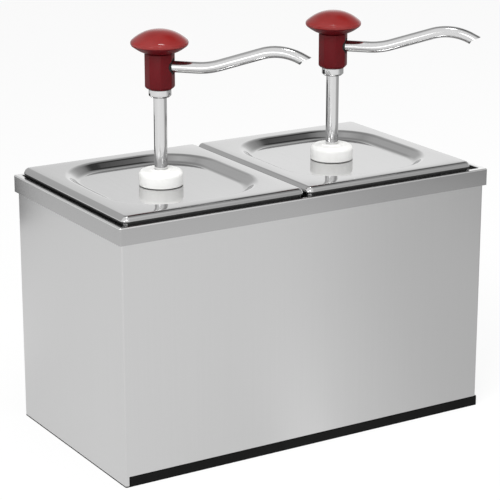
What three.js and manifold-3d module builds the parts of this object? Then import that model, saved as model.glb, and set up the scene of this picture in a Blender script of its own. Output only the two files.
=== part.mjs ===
import * as THREE from "three";
import { mergeVertices } from "three/addons/utils/BufferGeometryUtils.js";
import Module from "manifold-3d";

// Counter-top sauce dispenser with two pumps: a steel housing on a black base holds two food pans,
// each pan has a lid, and each lid carries a hand pump with a red knob and a curved spout.
// Millimetres. X runs along the row of pans, Y to the back, Z up. The origin is the centre of the
// base's underside, on the table.

const wasm = await Module();
wasm.setup();

// Clearances shared by all pieces
const seatGap = 0.3;
const overrun = 5;

// Housing and its black base
const housing = {
  sheet: 1.2,
  cornerRadius: 2.6,
  footClearance: 1,
  baseHeight: 8.2,
  baseWall: 3.2,
  baseFloor: 2.6,
  bandDepth: 16,
  bandStart: 3.4,
  bandOverhang: 1.8,
  plateFlange: 12,
  plateRadius: 4,
};

// Top frame that carries the pans, with its margins round the lids and the pans' mouths
const frame = {
  top: 207.3,
  sideMargin: 9,
  endMargin: 4.5,
  stationShift: -3.5,
  skirt: 13.8,
  proud: 2.4,
  hem: 5,
  ledgeDrop: 3,
  sheet: 1.2,
  cornerRadius: 3,
  pocketRadius: 2,
  edgeRadius: 0.9,
  openingMargin: 6,
  openingRadius: 16,
};

// Food pans, one sixth of a standard container: the lids, the frame and the housing fit round them
const pan = {
  rimWidth: 157.4,
  rimDepth: 171.4,
  rimRadius: 5.5,
  lip: 7.9,
  land: 9.7,
  mouthRadius: 24,
  taper: 6,
  floorRadius: 22,
  floorFillet: 11,
  depth: 150,
  sheet: 0.9,
  mouthBend: 2,
};

// Lids, which reach over the pans' rims
const lid = {
  spacing: 2,
  skirt: 5.4,
  edgeRadius: 4.8,
  sheet: 1,
  recess: 5.6,
  recessMargin: 15.5,
  recessRadius: 46,
  recessRun: 8,
};

// Pump body below and above the lid
const pump = {
  neckDiameter: 27,
  flangeDiameter: 40,
  flangeThickness: 3,
  gasketDiameter: 38,
  gasketThickness: 1.5,
  barrelDiameter: 30,
  bore: 24,
  barrelLength: 76,
  capDiameter: 35.2,
  capHeight: 12.1,
  capRoof: 3.6,
  capEdge: 4.2,
  capNeckDiameter: 17,
  capNeckHeight: 0.8,
  capNeckEdge: 0.4,
  guideFlange: 1.4,
  guideLength: 6,
};

// Foot valve at the bottom of the barrel
const foot = {
  flange: 4,
  spigot: 18,
  cupDiameter: 13,
  cupDepth: 14,
  tubeDiameter: 14,
  tubeBore: 7,
  inletClearance: 4,
  ballDiameter: 10,
  cageThickness: 1.5,
  cageHole: 4.6,
  cageHoles: 4,
};

// Piston, its valve and its rod
const plunger = {
  rodDiameter: 10.4,
  rodBore: 7,
  rodExposed: 57.5,
  rodEntry: 12,
  pistonClearance: 0.6,
  pistonLength: 20,
  sealWidth: 4,
  sealDepth: 2.2,
  sealOffset: 6,
  rodSocket: 7,
  seatThickness: 2,
  seatBore: 6,
  ballDiameter: 9,
};

// Return spring
const spring = {
  diameter: 20.6,
  wire: 1.5,
  turns: 6,
  stepsPerTurn: 8,
  sides: 5,
};

// Head block, its steel bush and the knob
const head = {
  bushDiameter: 17.8,
  bushHeight: 6.2,
  bushChamfer: 1.6,
  bushSpigot: 15,
  bushSpigotHeight: 3.6,
  blockWidth: 22.1,
  blockHeight: 30.6,
  blockChamfer: 1.8,
  facets: 8,
  channel: 7,
  spoutLevel: 18.3,
  studDiameter: 12,
  studHeight: 4.2,
  knobDiameter: 45.3,
  knobSeatDiameter: 23,
  knobRim: 5.5,
  knobDome: 10.5,
  knobEdge: 1.5,
  domePower: 2.3,
  undersideSag: 1.4,
};

// Spout tube: level run, bend up, climb, bend down to an oblique tip
const spout = {
  diameter: 9.2,
  wall: 0.8,
  heading: THREE.MathUtils.degToRad(-47),
  start: 6,
  levelEnd: 30,
  climbRadius: 60,
  climbAngle: THREE.MathUtils.degToRad(18),
  climb: 35,
  crestRadius: 42,
  dropAngle: THREE.MathUtils.degToRad(26),
  tipLength: 2.5,
  tipCut: THREE.MathUtils.degToRad(22),
  sealWall: 1.1,
  sealWidth: 2.4,
};

const screw = {
  shank: 4,
  length: 6,
  headDiameter: 8,
  headHeight: 2.6,
  crownShare: 0.7,
  inset: 16,
};

// Outlines that follow from the pan's rim: what fits in it, over it and round it
const rimOutline = { width: pan.rimWidth, depth: pan.rimDepth, radius: pan.rimRadius };
const mouthOutline = { ...grown(rimOutline, -pan.land), radius: pan.mouthRadius };
const floorOutline = { ...grown(mouthOutline, -pan.taper), radius: pan.floorRadius };
const openingOutline = { ...grown(mouthOutline, frame.openingMargin), radius: frame.openingRadius };
const lidOutline = { ...grown(rimOutline, lid.sheet + seatGap), radius: pan.rimRadius };
const recessOutline = { ...grown(lidOutline, -lid.recessMargin), radius: lid.recessRadius };
const pitch = lidOutline.width + lid.spacing;
const stationPlace = (side) => frame.stationShift + side * (pitch / 2);
const frameOutline = {
  width: pitch + lidOutline.width + 2 * frame.sideMargin,
  depth: lidOutline.depth + 2 * frame.endMargin,
  radius: frame.cornerRadius,
};
const shellOutline = { ...grown(frameOutline, -frame.proud), radius: housing.cornerRadius };

// Heights and sizes that follow from the values above
const ledgeTop = frame.top - frame.ledgeDrop;
const ledgeUnder = ledgeTop - frame.sheet;
const plateUnder = housing.baseHeight + seatGap;
const panRimTop = ledgeTop + seatGap + pan.lip;
const panUnder = panRimTop - pan.depth;
const panFloorTop = panUnder + pan.sheet;
const lidUnder = panRimTop + seatGap;
const lidTop = lidUnder + lid.sheet;
const recessTop = lidTop - lid.recess;
const recessUnder = recessTop - lid.sheet;
const gasketTop = recessUnder - seatGap;
const flangeTop = gasketTop - pump.gasketThickness - seatGap;
const barrelUnder = flangeTop - pump.flangeThickness - pump.barrelLength;
const capUnder = recessTop + seatGap;
const capShoulder = capUnder + pump.capHeight;
const capTop = capShoulder + pump.capNeckHeight;
const capRoofUnder = capShoulder - pump.capRoof;
const guideTop = capRoofUnder - seatGap;
const neckTop = guideTop - pump.guideFlange - seatGap;
const guideUnder = neckTop - pump.guideLength;
const pistonTop = guideUnder - seatGap;
const pistonUnder = pistonTop - plunger.pistonLength;
const rodUnder = pistonTop - plunger.rodSocket;
const footShoulder = barrelUnder - seatGap;
const spigotTop = footShoulder + foot.spigot;
const footSeat = spigotTop - foot.cupDepth;
const cageUnder = spigotTop + seatGap;
const cageTop = cageUnder + foot.cageThickness;
const bushUnder = capTop + plunger.rodExposed;
const blockUnder = bushUnder + head.bushHeight + seatGap;
const blockTop = blockUnder + head.blockHeight;
const rodTop = blockUnder + plunger.rodEntry;
const spoutZ = blockUnder + head.spoutLevel;
const knobSeat = blockTop + seatGap;
const boreRadius = pump.bore / 2;
const rodHoleRadius = plunger.rodDiameter / 2 + seatGap;
const pistonRadius = boreRadius - plunger.pistonClearance;
const insertRadius = boreRadius - seatGap;

// Materials
function material(name, color, roughness, metalness) {
  const made = new THREE.MeshStandardMaterial({ color, roughness, metalness });
  made.name = name;
  return made;
}
const brushedSteel = () => material("brushed_steel", 0xc9c9c8, 0.34, 1);
const polishedSteel = () => material("polished_steel", 0xd8d8d8, 0.12, 1);
const redPlastic = () => material("red_plastic", 0x8e1b24, 0.22, 0);
const whitePlastic = () => material("white_plastic", 0xf2f2ef, 0.4, 0);
const blackPlastic = () => material("black_plastic", 0x131313, 0.55, 0);
const blackRubber = () => material("black_rubber", 0x1b1b1b, 0.8, 0);
const springSteel = () => material("spring_steel", 0xa9a9a9, 0.3, 1);

// A closed geometry becomes a solid for joining and cutting, and a solid becomes a geometry again
function solid(geometry) {
  const bare = geometry.clone();
  bare.deleteAttribute("normal");
  bare.deleteAttribute("uv");
  const merged = mergeVertices(bare);
  return new wasm.Manifold(new wasm.Mesh({
    numProp: 3,
    vertProperties: new Float32Array(merged.attributes.position.array),
    triVerts: new Uint32Array(merged.index.array),
  }));
}

function geometryOf(body) {
  const mesh = body.getMesh();
  const geometry = new THREE.BufferGeometry();
  geometry.setAttribute("position", new THREE.BufferAttribute(mesh.vertProperties, mesh.numProp));
  geometry.setIndex(new THREE.BufferAttribute(mesh.triVerts, 1));
  geometry.computeVertexNormals();
  return geometry;
}

function cut(geometry, ...tools) {
  return geometryOf(tools.reduce((body, tool) => body.subtract(solid(tool)), solid(geometry)));
}

function join(geometry, ...others) {
  return geometryOf(others.reduce((body, other) => body.add(solid(other)), solid(geometry)));
}

// A turned piece from a profile of [radius, height] points, which closes on itself or on the axis
function turned(profile, segments = 24) {
  const area = profile.reduce((sum, [r, z], i) => {
    const [nextR, nextZ] = profile[(i + 1) % profile.length];
    return sum + r * nextZ - nextR * z;
  }, 0);
  const ordered = area > 0 ? profile : [...profile].reverse();
  const points = ordered.map(([r, z]) => new THREE.Vector2(r, z));
  const onAxis = ordered[0][0] === 0 && ordered[ordered.length - 1][0] === 0;
  if (!onAxis) points.push(points[0].clone());
  return new THREE.LatheGeometry(points, segments).rotateX(Math.PI / 2);
}

function disc(radius, low, high, segments = 24) {
  return turned([[0, low], [radius, low], [radius, high], [0, high]], segments);
}

function ring(inner, outer, low, high, segments = 24) {
  return turned([[inner, low], [outer, low], [outer, high], [inner, high]], segments);
}

function box(low, high) {
  const size = high.map((value, axis) => value - low[axis]);
  const middle = high.map((value, axis) => (value + low[axis]) / 2);
  return new THREE.BoxGeometry(...size).translate(...middle);
}

// Points of a quarter turn, as [across, up] offsets from the arc's centre
function arc(centre, radius, from, to, steps) {
  return Array.from({ length: steps + 1 }, (_, i) => {
    const angle = from + ((to - from) * i) / steps;
    return [centre[0] + radius * Math.cos(angle), centre[1] + radius * Math.sin(angle)];
  });
}

// Points of a tube's round section
function circle(radius, sides) {
  return Array.from({ length: sides }, (_, i) => {
    const angle = (i / sides) * Math.PI * 2;
    return new THREE.Vector2(radius * Math.cos(angle), radius * Math.sin(angle));
  });
}

// Rings of a rounded rectangle, each { width, depth, radius, z }, joined into one closed skin
const cornerSteps = 5;
function ringPoints({ width, depth, radius, z }) {
  const points = [];
  const corners = [[1, 1], [-1, 1], [-1, -1], [1, -1]];
  corners.forEach(([sideX, sideY], corner) => {
    for (let i = 0; i <= cornerSteps; i++) {
      const angle = (corner + i / cornerSteps) * (Math.PI / 2);
      points.push([
        sideX * (width / 2 - radius) + radius * Math.cos(angle),
        sideY * (depth / 2 - radius) + radius * Math.sin(angle),
        z,
      ]);
    }
  });
  return points;
}

function loft(rings, closed = false) {
  const skins = rings.map(ringPoints);
  const count = skins[0].length;
  const positions = skins.flat(2);
  const index = [];
  const bands = closed ? skins.length : skins.length - 1;
  for (let i = 0; i < bands; i++) {
    const next = (i + 1) % skins.length;
    for (let j = 0; j < count; j++) {
      const k = (j + 1) % count;
      const [a, b, c, d] = [i * count + j, i * count + k, next * count + k, next * count + j];
      index.push(a, b, c, a, c, d);
    }
  }
  if (!closed) {
    const last = (skins.length - 1) * count;
    const centre = positions.length / 3;
    positions.push(0, 0, rings[0].z, 0, 0, rings[rings.length - 1].z);
    for (let j = 0; j < count; j++) {
      const k = (j + 1) % count;
      index.push(centre, k, j, centre + 1, last + j, last + k);
    }
  }
  const geometry = new THREE.BufferGeometry();
  geometry.setAttribute("position", new THREE.Float32BufferAttribute(positions, 3));
  geometry.setIndex(index);
  geometry.computeVertexNormals();
  return geometry;
}

// A ring of the loft, grown or shrunk all round by one offset
function grown({ width, depth, radius }, offset, z = 0) {
  return { width: width + 2 * offset, depth: depth + 2 * offset, radius: radius + offset, z };
}

function block(outline, low, high) {
  return loft([grown(outline, 0, low), grown(outline, 0, high)]);
}

function mesh(name, geometry, finish) {
  const made = new THREE.Mesh(geometry, finish);
  made.name = name;
  return made;
}

// Space that the base's front or rear band takes at the foot of the walls, on side -1 or +1
function bandSpace(side, clearance) {
  const face = side * (shellOutline.depth / 2);
  const inner = side * (shellOutline.depth / 2 - housing.bandDepth - clearance);
  return {
    left: -shellOutline.width / 2 + housing.bandStart - clearance,
    right: shellOutline.width / 2 + housing.bandOverhang,
    near: Math.min(face, inner),
    far: Math.max(face, inner),
  };
}

function housingShell() {
  const low = housing.footClearance;
  const high = ledgeUnder - seatGap;
  const inside = -housing.sheet;
  const walls = loft([
    grown(shellOutline, inside, low),
    grown(shellOutline, 0, low),
    grown(shellOutline, 0, high),
    grown(shellOutline, inside, high),
  ], true);
  const notches = [-1, 1].map((side) => {
    const space = bandSpace(side, seatGap);
    const reach = side < 0 ? [space.near - overrun, space.far] : [space.near, space.far + overrun];
    return box([space.left, reach[0], -overrun], [space.right + overrun, reach[1], plateUnder]);
  });
  return cut(walls, ...notches);
}

const screwPlaces = [-1, 1].flatMap((x) => [-1, 1].map((y) => [
  x * (shellOutline.width / 2 - screw.inset),
  y * (shellOutline.depth / 2 - screw.inset),
]));

function screwHole([x, y], low, high) {
  return disc(screw.shank / 2 + seatGap, low, high, 12).translate(x, y, 0);
}

function basePlate() {
  const inset = -housing.sheet - seatGap;
  const outline = { ...grown(shellOutline, inset), radius: housing.plateRadius };
  const low = plateUnder;
  const high = plateUnder + housing.plateFlange;
  const tray = loft([
    grown(outline, 0, low),
    grown(outline, 0, high),
    grown(outline, -housing.sheet, high),
    grown(outline, -housing.sheet, low + housing.sheet),
  ]);
  return cut(tray, ...screwPlaces.map((place) => screwHole(place, low - overrun, high)));
}

function baseTray() {
  const inset = -housing.sheet - seatGap;
  const top = housing.baseHeight;
  const core = block(grown(shellOutline, inset), 0, top);
  const lip = block(shellOutline, 0, housing.footClearance - seatGap);
  const bands = [-1, 1].map((side) => {
    const space = bandSpace(side, 0);
    const outline = {
      width: space.right - space.left,
      depth: space.far - space.near,
      radius: housing.bandOverhang,
    };
    const middle = [(space.right + space.left) / 2, (space.near + space.far) / 2];
    return block(outline, 0, top).translate(...middle, 0);
  });
  const hollow = {
    width: shellOutline.width + 2 * (inset - housing.baseWall),
    depth: shellOutline.depth - 2 * housing.bandDepth,
    radius: housing.baseWall,
  };
  const pocket = block(hollow, housing.baseFloor, top + overrun);
  const holes = screwPlaces.map((place) => screwHole(place, housing.baseFloor, top + overrun));
  return cut(join(core, lip, ...bands), pocket, ...holes);
}

function baseScrew([x, y]) {
  const seat = plateUnder + housing.sheet + seatGap;
  const end = seat - housing.sheet - screw.length + screw.headHeight / 2;
  const shank = screw.shank / 2;
  const rim = screw.headDiameter / 2;
  const crown = seat + screw.headHeight;
  return turned([
    [0, end],
    [shank, end],
    [shank, seat],
    [rim, seat],
    [rim, seat + screw.headHeight / 2],
    [rim * screw.crownShare, crown],
    [0, crown],
  ], 12).translate(x, y, 0);
}

function topFrame() {
  const low = frame.top - frame.skirt;
  const edge = frame.edgeRadius;
  const crown = arc([-edge, frame.top - edge], edge, 0, Math.PI / 2, 3);
  const body = loft([
    grown(frameOutline, 0, low),
    ...crown.map(([offset, z]) => grown(frameOutline, offset, z)),
  ]);
  const under = block(grown(frameOutline, -frame.sheet), low - overrun, ledgeUnder);
  const pocketOutline = { ...grown(frameOutline, -frame.hem), radius: frame.pocketRadius };
  const pocket = block(pocketOutline, ledgeTop, frame.top + overrun);
  const openings = [-1, 1].map((side) => (
    block(openingOutline, ledgeUnder - overrun, frame.top).translate(stationPlace(side), 0, 0)
  ));
  return cut(body, under, pocket, ...openings);
}

// One station: pan, lid and pump, modelled round its own axis
function foodPan() {
  const wall = pan.sheet;
  const bend = lid.edgeRadius - lid.sheet - seatGap;
  const turn = pan.mouthBend;
  const fillet = pan.floorFillet;
  const lipUnder = ledgeTop + seatGap;
  const bottomOf = (offset, low, radius) => (
    arc([offset - radius, low + radius], radius, -Math.PI / 2, 0, 3)
      .map(([across, z]) => grown(floorOutline, across, z))
  );
  const rimBend = arc([-bend, panRimTop - bend], bend, 0, Math.PI / 2, 3);
  const rimUnder = arc([-bend, panRimTop - bend], bend - wall, Math.PI / 2, 0, 2);
  const mouthBend = arc([turn, panRimTop - turn], turn, Math.PI / 2, Math.PI, 3);
  const mouthUnder = arc([turn, panRimTop - turn], turn - wall, Math.PI, Math.PI / 2, 2);
  return loft([
    ...bottomOf(0, panUnder, fillet),
    ...mouthUnder.map(([offset, z]) => grown(mouthOutline, offset, z)),
    ...rimUnder.map(([offset, z]) => grown(rimOutline, offset, z)),
    grown(rimOutline, -wall, lipUnder),
    grown(rimOutline, 0, lipUnder),
    ...rimBend.map(([offset, z]) => grown(rimOutline, offset, z)),
    ...mouthBend.map(([offset, z]) => grown(mouthOutline, offset, z)),
    ...bottomOf(-wall, panFloorTop, fillet - wall).reverse(),
  ]);
}

function panLid() {
  const edge = lid.edgeRadius;
  const skirtUnder = lidTop - lid.skirt;
  const crown = arc([-edge, lidTop - edge], edge, 0, Math.PI / 2, 5);
  const inside = arc([-edge, lidTop - edge], edge - lid.sheet, Math.PI / 2, 0, 3);
  const sheetShift = lid.sheet * Math.tan(Math.atan2(lid.recess, lid.recessRun) / 2);
  const body = loft([
    grown(recessOutline, sheetShift - lid.recessRun, recessUnder),
    grown(recessOutline, sheetShift, lidUnder),
    ...inside.map(([offset, z]) => grown(lidOutline, offset, z)),
    grown(lidOutline, -lid.sheet, skirtUnder),
    grown(lidOutline, 0, skirtUnder),
    ...crown.map(([offset, z]) => grown(lidOutline, offset, z)),
    grown(recessOutline, 0, lidTop),
    grown(recessOutline, -lid.recessRun, recessTop),
  ]);
  return cut(body, disc(pump.neckDiameter / 2 + seatGap, recessUnder - overrun, lidTop));
}

function gasket() {
  const low = gasketTop - pump.gasketThickness;
  return ring(pump.neckDiameter / 2 + seatGap, pump.gasketDiameter / 2, low, gasketTop, 20);
}

function barrel() {
  const neck = pump.neckDiameter / 2;
  const flange = pump.flangeDiameter / 2;
  const wall = pump.barrelDiameter / 2;
  const flangeUnder = flangeTop - pump.flangeThickness;
  return turned([
    [boreRadius, barrelUnder],
    [wall, barrelUnder],
    [wall, flangeUnder],
    [flange, flangeUnder],
    [flange, flangeTop],
    [neck, flangeTop],
    [neck, neckTop],
    [boreRadius, neckTop],
  ], 24);
}

function rodGuide() {
  const flange = pump.neckDiameter / 2;
  return turned([
    [rodHoleRadius, guideUnder],
    [insertRadius, guideUnder],
    [insertRadius, neckTop + seatGap],
    [flange, neckTop + seatGap],
    [flange, guideTop],
    [rodHoleRadius, guideTop],
  ], 20);
}

function capNut() {
  const outer = pump.capDiameter / 2;
  const inner = pump.neckDiameter / 2 + seatGap;
  const neck = pump.capNeckDiameter / 2;
  const edge = pump.capEdge;
  const lipEdge = pump.capNeckEdge;
  return turned([
    [inner, capUnder],
    [outer, capUnder],
    ...arc([outer - edge, capShoulder - edge], edge, 0, Math.PI / 2, 5),
    [neck, capShoulder],
    ...arc([neck - lipEdge, capTop - lipEdge], lipEdge, 0, Math.PI / 2, 2),
    [rodHoleRadius, capTop],
    [rodHoleRadius, capRoofUnder],
    [inner, capRoofUnder],
  ], 28);
}

function footValve() {
  const flange = pump.barrelDiameter / 2;
  const tube = foot.tubeDiameter / 2;
  const bore = foot.tubeBore / 2;
  const cup = foot.cupDiameter / 2;
  const end = panFloorTop + foot.inletClearance;
  const flangeUnder = footShoulder - foot.flange;
  return turned([
    [bore, end],
    [tube, end],
    [tube, flangeUnder],
    [flange, flangeUnder],
    [flange, footShoulder],
    [insertRadius, footShoulder],
    [insertRadius, spigotTop],
    [cup, spigotTop],
    [cup, footSeat],
    [bore, footSeat],
  ], 20);
}

function inletCage() {
  const plate = disc(insertRadius, cageUnder, cageTop, 20);
  const hole = foot.cageHole / 2;
  const circle = foot.cupDiameter / 2 - hole + seatGap;
  const holes = Array.from({ length: foot.cageHoles }, (_, i) => {
    const angle = (i / foot.cageHoles) * Math.PI * 2;
    return disc(hole, cageUnder - overrun, cageTop + overrun, 8)
      .translate(circle * Math.cos(angle), circle * Math.sin(angle), 0);
  });
  return cut(plate, ...holes);
}

// A valve ball lies in the round edge of its seat, with the seat gap under it
function valveBall(diameter, seatBore, seat) {
  const radius = diameter / 2;
  const rise = Math.sqrt(radius ** 2 - (seatBore / 2) ** 2);
  return new THREE.SphereGeometry(radius, 12, 8)
    .rotateX(Math.PI / 2)
    .translate(0, 0, seat + rise + seatGap);
}

class Helix extends THREE.Curve {
  constructor(radius, low, high, turns) {
    super();
    Object.assign(this, { radius, low, high, turns });
  }

  getPoint(t, target = new THREE.Vector3()) {
    const angle = t * this.turns * Math.PI * 2;
    return target.set(
      this.radius * Math.cos(angle),
      this.radius * Math.sin(angle),
      this.low + (this.high - this.low) * t,
    );
  }
}

function returnSpring() {
  const wire = spring.wire / 2;
  const low = cageTop + seatGap + wire;
  const high = pistonUnder - seatGap - wire;
  const path = new Helix((spring.diameter - spring.wire) / 2, low, high, spring.turns);
  return new THREE.ExtrudeGeometry(new THREE.Shape(circle(wire, spring.sides)), {
    steps: spring.turns * spring.stepsPerTurn,
    bevelEnabled: false,
    extrudePath: path,
  });
}

function piston() {
  const groove = pistonRadius - plunger.sealDepth;
  const grooveLow = pistonUnder + plunger.sealOffset;
  const grooveHigh = grooveLow + plunger.sealWidth;
  const seat = pistonUnder + plunger.seatThickness;
  return turned([
    [plunger.seatBore / 2, pistonUnder],
    [pistonRadius, pistonUnder],
    [pistonRadius, grooveLow],
    [groove, grooveLow],
    [groove, grooveHigh],
    [pistonRadius, grooveHigh],
    [pistonRadius, pistonTop],
    [rodHoleRadius, pistonTop],
    [rodHoleRadius, seat],
    [plunger.seatBore / 2, seat],
  ], 20);
}

function pistonSeal() {
  const low = pistonUnder + plunger.sealOffset + seatGap;
  const high = low + plunger.sealWidth - 2 * seatGap;
  const inner = pistonRadius - plunger.sealDepth + seatGap;
  const waist = (inner + insertRadius) / 2;
  return turned([
    [inner, low],
    [insertRadius, low],
    [waist, (low + high) / 2],
    [insertRadius, high],
    [inner, high],
  ], 20);
}

function rod() {
  return ring(plunger.rodBore / 2, plunger.rodDiameter / 2, rodUnder, rodTop, 20);
}

function headBush() {
  const outer = head.bushDiameter / 2;
  const chamfer = head.bushChamfer;
  const spigot = head.bushSpigot / 2;
  const shoulder = bushUnder + head.bushHeight;
  return turned([
    [rodHoleRadius, bushUnder],
    [outer - chamfer, bushUnder],
    [outer, bushUnder + chamfer],
    [outer, shoulder],
    [spigot, shoulder],
    [spigot, shoulder + head.bushSpigotHeight],
    [rodHoleRadius, shoulder + head.bushSpigotHeight],
  ], 24);
}

function alongSpout(geometry) {
  return geometry.rotateY(Math.PI / 2).rotateZ(spout.heading).translate(0, 0, spoutZ);
}

function headBlock() {
  const chamfer = head.blockChamfer;
  const corner = head.blockWidth / 2 / Math.cos(Math.PI / head.facets);
  const prism = turned([
    [0, blockUnder],
    [corner - chamfer, blockUnder],
    [corner, blockUnder + chamfer],
    [corner, blockTop],
    [0, blockTop],
  ], head.facets).rotateZ(spout.heading + Math.PI / head.facets);
  const face = head.blockWidth / 2;
  const tube = spout.diameter / 2;
  const sealSeat = face - spout.sealWidth - 2 * seatGap;
  const studSeat = blockTop - head.studHeight - seatGap;
  return cut(
    prism,
    disc(head.bushSpigot / 2 + seatGap, blockUnder - overrun, blockUnder + head.bushSpigotHeight),
    disc(rodHoleRadius, blockUnder, rodTop + seatGap),
    disc(head.channel / 2, rodTop, spoutZ, 12),
    alongSpout(disc(tube + seatGap, 0, face + overrun, 16)),
    alongSpout(disc(tube + spout.sealWall + 2 * seatGap, sealSeat, face + overrun, 20)),
    disc(head.studDiameter / 2 + seatGap, studSeat, blockTop + overrun, 20),
  );
}

function spoutSeal() {
  const inner = spout.diameter / 2 + seatGap;
  const low = head.blockWidth / 2 - spout.sealWidth - seatGap;
  return alongSpout(ring(inner, inner + spout.sealWall, low, low + spout.sealWidth, 20));
}

// Centre line of the spout in its own upright plane: lines and arcs laid end to end
class SpoutLine extends THREE.Curve {
  constructor() {
    super();
    const turn = spout.climbAngle + spout.dropAngle;
    this.pieces = [
      { length: spout.levelEnd - spout.start, bend: 0 },
      { length: spout.climbRadius * spout.climbAngle, bend: 1 / spout.climbRadius },
      { length: spout.climb, bend: 0 },
      { length: spout.crestRadius * turn, bend: -1 / spout.crestRadius },
      { length: spout.tipLength + spout.diameter, bend: 0 },
    ];
    this.total = this.pieces.reduce((sum, piece) => sum + piece.length, 0);
  }

  getPoint(t, target = new THREE.Vector3()) {
    let left = t * this.total;
    let angle = 0;
    const at = { across: spout.start, up: 0 };
    for (const { length, bend } of this.pieces) {
      const run = Math.min(left, length);
      if (bend === 0) {
        at.across += run * Math.cos(angle);
        at.up += run * Math.sin(angle);
      } else {
        const next = angle + run * bend;
        at.across += (Math.sin(next) - Math.sin(angle)) / bend;
        at.up += (Math.cos(angle) - Math.cos(next)) / bend;
        angle = next;
      }
      left -= run;
    }
    return target.set(at.across, 0, at.up);
  }
}

function spoutTube() {
  const outer = spout.diameter / 2;
  const section = new THREE.Shape(circle(outer, 14));
  section.holes.push(new THREE.Path(circle(outer - spout.wall, 10)));
  const line = new SpoutLine();
  const tube = new THREE.ExtrudeGeometry(section, {
    steps: 20,
    bevelEnabled: false,
    extrudePath: line,
  });
  const tip = line.getPoint(1 - spout.diameter / line.total);
  const back = 2 * spout.diameter;
  const blade = box([-back, -back, -back], [back, back, 0])
    .rotateY(-spout.tipCut)
    .translate(tip.x, 0, tip.z);
  return cut(tube, blade).rotateZ(spout.heading).translate(0, 0, spoutZ);
}

function knob() {
  const rim = head.knobDiameter / 2;
  const edge = head.knobEdge;
  const stud = head.studDiameter / 2;
  const rimZ = knobSeat + head.knobRim;
  const seat = head.knobSeatDiameter / 2;
  const sag = head.undersideSag;
  const rimEdge = arc([rim - edge, rimZ], edge, -Math.PI / 3, Math.PI / 3, 4);
  const [domeRadius, domeZ] = rimEdge[rimEdge.length - 1];
  const rise = rimZ + head.knobDome - domeZ;
  const dome = Array.from({ length: 8 }, (_, i) => {
    const share = 1 - (i + 1) / 8;
    return [domeRadius * share, domeZ + rise * (1 - share ** head.domePower)];
  });
  return turned([
    [0, blockTop - head.studHeight],
    [stud, blockTop - head.studHeight],
    [stud, knobSeat],
    [seat, knobSeat],
    [(seat + rim) / 2, (knobSeat + rimZ) / 2 - sag / 2],
    ...rimEdge,
    ...dome,
  ], 32);
}

function station(side, sideName) {
  const group = new THREE.Group();
  const add = (name, geometry, finish) => group.add(mesh(`${sideName}_${name}`, geometry, finish));
  const footBall = valveBall(foot.ballDiameter, foot.tubeBore, footSeat);
  const pistonSeat = pistonUnder + plunger.seatThickness;
  const pistonBall = valveBall(plunger.ballDiameter, plunger.seatBore, pistonSeat);
  add("pan", foodPan(), brushedSteel());
  add("lid", panLid(), brushedSteel());
  add("gasket", gasket(), blackRubber());
  add("barrel", barrel(), whitePlastic());
  add("rod_guide", rodGuide(), whitePlastic());
  add("cap_nut", capNut(), whitePlastic());
  add("foot_valve", footValve(), whitePlastic());
  add("inlet_cage", inletCage(), whitePlastic());
  add("inlet_ball", footBall, polishedSteel());
  add("return_spring", returnSpring(), springSteel());
  add("piston", piston(), whitePlastic());
  add("piston_seal", pistonSeal(), blackRubber());
  add("outlet_ball", pistonBall, polishedSteel());
  add("rod", rod(), polishedSteel());
  add("head_bush", headBush(), polishedSteel());
  add("head_block", headBlock(), redPlastic());
  add("spout_seal", spoutSeal(), blackRubber());
  add("spout", spoutTube(), polishedSteel());
  add("knob", knob(), redPlastic());
  group.position.x = stationPlace(side);
  return group;
}

const dispenser = new THREE.Group();
dispenser.add(
  mesh("housing_shell", housingShell(), brushedSteel()),
  mesh("top_frame", topFrame(), brushedSteel()),
  mesh("base_plate", basePlate(), brushedSteel()),
  mesh("base_tray", baseTray(), blackPlastic()),
);
screwPlaces.forEach((place, i) => {
  dispenser.add(mesh(`base_screw_${i + 1}`, baseScrew(place), polishedSteel()));
});
dispenser.add(station(-1, "left"), station(1, "right"));

export default dispenser;
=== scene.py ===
import math

import bpy
from mathutils import Matrix, Vector


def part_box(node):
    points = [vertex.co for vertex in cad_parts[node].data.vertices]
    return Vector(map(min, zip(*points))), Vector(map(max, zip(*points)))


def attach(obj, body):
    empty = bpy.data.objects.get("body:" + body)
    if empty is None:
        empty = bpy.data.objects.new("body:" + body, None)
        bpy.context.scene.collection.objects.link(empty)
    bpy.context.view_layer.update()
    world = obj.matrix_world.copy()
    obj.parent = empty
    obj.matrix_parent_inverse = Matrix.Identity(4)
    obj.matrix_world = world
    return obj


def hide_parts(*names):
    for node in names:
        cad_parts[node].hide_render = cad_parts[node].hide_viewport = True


# Looks of a counter-top sauce dispenser: a steel housing on a black base, two food pans, two lids
# and two hand pumps. Shapes are worked out in millimetres and stored in metres.
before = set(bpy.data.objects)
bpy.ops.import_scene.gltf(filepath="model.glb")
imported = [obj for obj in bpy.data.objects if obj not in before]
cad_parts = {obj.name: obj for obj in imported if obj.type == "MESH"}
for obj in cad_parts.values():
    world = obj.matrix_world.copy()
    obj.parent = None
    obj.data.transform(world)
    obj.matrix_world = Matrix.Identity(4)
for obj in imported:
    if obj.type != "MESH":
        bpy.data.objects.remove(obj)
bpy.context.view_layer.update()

MM = 0.001
GAP = 0.3

# Steps round curves
CORNER_STEPS = 10
LEAST_CORNER = 0.05
ROUND_STEPS = 72
TUBE_STEPS = 36
DOME_STEPS = 28
STEPS = {"tiny": 4, "small": 5, "roll": 6, "edge": 8, "crown": 10, "round": 12}

# Edges: the angle at which shading stays sharp, and what is rounded off
SMOOTH_ANGLE = math.radians(32)
EDGE_ANGLE = math.radians(25)
EDGE_SEGMENTS = 3

# The camera stands where the photograph was taken from
CAMERA_PLACE = (-811.7, -1319.7, 610.0)
CAMERA_YAW = math.radians(31.531)
CAMERA_PITCH = math.radians(16.853)
CAMERA_ROLL = math.radians(0.057)
CAMERA_LENS = 141.69
CAMERA_SENSOR = 36
CAMERA_CLIP = (0.05, 50)

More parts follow.
